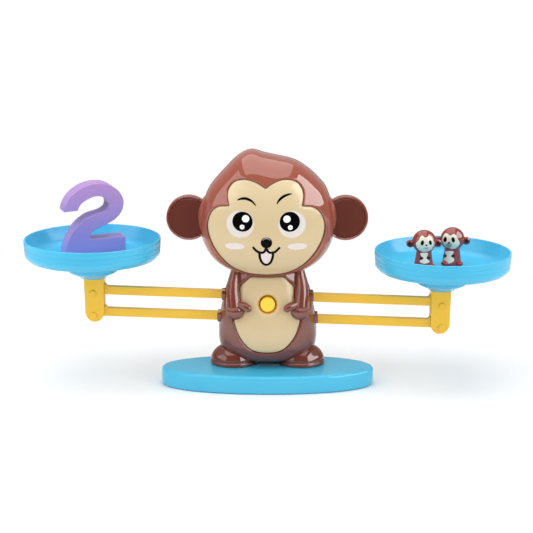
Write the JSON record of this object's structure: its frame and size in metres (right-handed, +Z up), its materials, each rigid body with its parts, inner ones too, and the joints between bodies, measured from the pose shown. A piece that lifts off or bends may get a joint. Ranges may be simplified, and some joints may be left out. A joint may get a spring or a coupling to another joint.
{
  "type": "number balance",
  "caption": "Toy balance with a monkey figure on an oval base, two parallel beams on pivots, level round pans on brackets, a numeral weight and small monkey weights.",
  "frame": {"origin": "bottom centre of the overall box: the base's underside, in the beams' mid plane", "axes": "+X to the viewer's right along the beams, +Y to the back, +Z up; the monkey faces -Y"},
  "size_m": [0.3562, 0.0996, 0.1741],
  "materials": {
    "brown_plastic": "glossy",
    "cream_plastic": "satin",
    "blue_plastic": "satin",
    "yellow_plastic": "satin",
    "button_plastic": "satin",
    "purple_plastic": "satin",
    "red_brown_plastic": "glossy",
    "steel": "plated"
  },
  "bodies": {
    "stand": {"base_plate": "blue_plastic", "front_shell": "brown_plastic", "rear_shell": "brown_plastic", "face_plate": "cream_plastic", "belly_plate": "cream_plastic", "left_ear": "brown_plastic", "right_ear": "brown_plastic", "upper_pivot_pin": "button_plastic", "lower_pivot_pin": "steel", "shell_screw_1": "steel", "shell_screw_2": "steel", "shell_screw_3": "steel", "shell_screw_4": "steel", "base_screw_left": "steel", "base_screw_right": "steel"},
    "upper_beam": {"upper_beam": "yellow_plastic"},
    "lower_beam": {"lower_beam": "yellow_plastic"},
    "left_carrier": {"left_bracket": "yellow_plastic", "left_upper_pin": "yellow_plastic", "left_lower_pin": "yellow_plastic", "left_pan": "blue_plastic"},
    "right_carrier": {"right_bracket": "yellow_plastic", "right_upper_pin": "yellow_plastic", "right_lower_pin": "yellow_plastic", "right_pan": "blue_plastic"},
    "numeral": {"numeral_weight": "purple_plastic"},
    "left_small_monkey": {"small_monkey_left": "red_brown_plastic"},
    "right_small_monkey": {"small_monkey_right": "red_brown_plastic"}
  },
  "joints": [
    {"name": "upper_beam_tilt", "type": "hinge", "parent": "stand", "child": "upper_beam", "pos_m": [0, 0, 0.0628], "axis": [0, 1, 0], "range_deg": [-8.5, 4.5]},
    {"name": "lower_beam_tilt", "type": "hinge", "parent": "stand", "child": "lower_beam", "pos_m": [0, 0, 0.0463], "axis": [0, 1, 0], "range_deg": [-8.5, 4.5]},
    {"name": "left_bracket_turn", "type": "hinge", "parent": "upper_beam", "child": "left_carrier", "pos_m": [-0.12832, 0, 0.06728], "axis": [0, 1, 0], "range_deg": [-4.5, 8.5]},
    {"name": "right_bracket_turn", "type": "hinge", "parent": "upper_beam", "child": "right_carrier", "pos_m": [0.12832, 0, 0.05832], "axis": [0, 1, 0], "range_deg": [-4.5, 8.5]},
    {"name": "numeral_lift", "type": "slide", "parent": "left_carrier", "child": "numeral", "axis": [0, 0, 1], "range_m": [0, 0.06]},
    {"name": "left_small_monkey_lift", "type": "slide", "parent": "right_carrier", "child": "left_small_monkey", "axis": [0, 0, 1], "range_m": [0, 0.04]},
    {"name": "right_small_monkey_lift", "type": "slide", "parent": "right_carrier", "child": "right_small_monkey", "axis": [0, 0, 1], "range_m": [0, 0.04]}
  ],
  "couplings": [
    {"joint": "lower_beam_tilt", "follows": "upper_beam_tilt", "ratio": 1},
    {"joint": "left_bracket_turn", "follows": "upper_beam_tilt", "ratio": -1},
    {"joint": "right_bracket_turn", "follows": "upper_beam_tilt", "ratio": -1}
  ]
}
